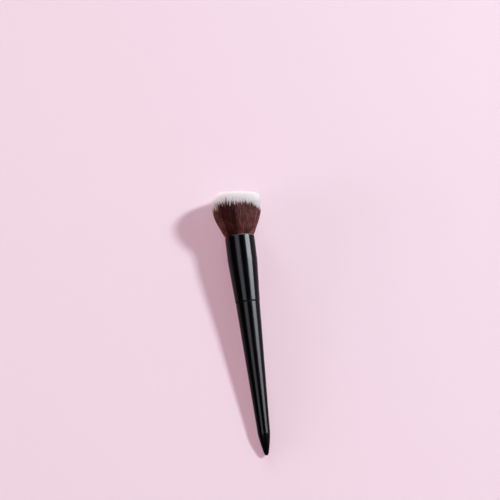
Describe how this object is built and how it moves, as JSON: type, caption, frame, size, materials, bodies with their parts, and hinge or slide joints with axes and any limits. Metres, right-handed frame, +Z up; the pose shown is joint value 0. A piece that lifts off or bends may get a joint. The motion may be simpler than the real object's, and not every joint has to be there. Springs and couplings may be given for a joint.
{
  "type": "blush brush",
  "caption": "Blush brush lying on its side: domed knot of brown, white-tipped fibres in a tapered black ferrule, on a long turned black handle with a bullet nose.",
  "frame": {"origin": "the brush lies at rest on its side on Z = 0, on the widest ring of its knot and the shoulder of its nose; the origin is the bottom centre of its box", "axes": "+X along the brush towards the knot, which stands higher, so the brush's own axis leans up by 4.80 degrees from +X; +Y to one side; +Z up"},
  "size_m": [0.1694, 0.0309, 0.031],
  "materials": {
    "handle_lacquer": "turned hardwood under glossy black lacquer",
    "tenon_glue": "set epoxy, hidden",
    "ferrule_metal": "drawn aluminium under glossy black enamel, bare inside and at the trimmed edge of its turned-in mouth",
    "knot_resin": "set epoxy, hidden",
    "binding_thread": "twisted cotton thread, hidden",
    "bristle_fibre": "soft synthetic fibre, dark brown with undyed white tips"
  },
  "bodies": {
    "root": {"handle": "handle_lacquer", "tenon_glue": "tenon_glue", "ferrule": "ferrule_metal", "knot_resin": "knot_resin", "binding_thread": "binding_thread", "bristles": "bristle_fibre"}
  },
  "joints": []
}
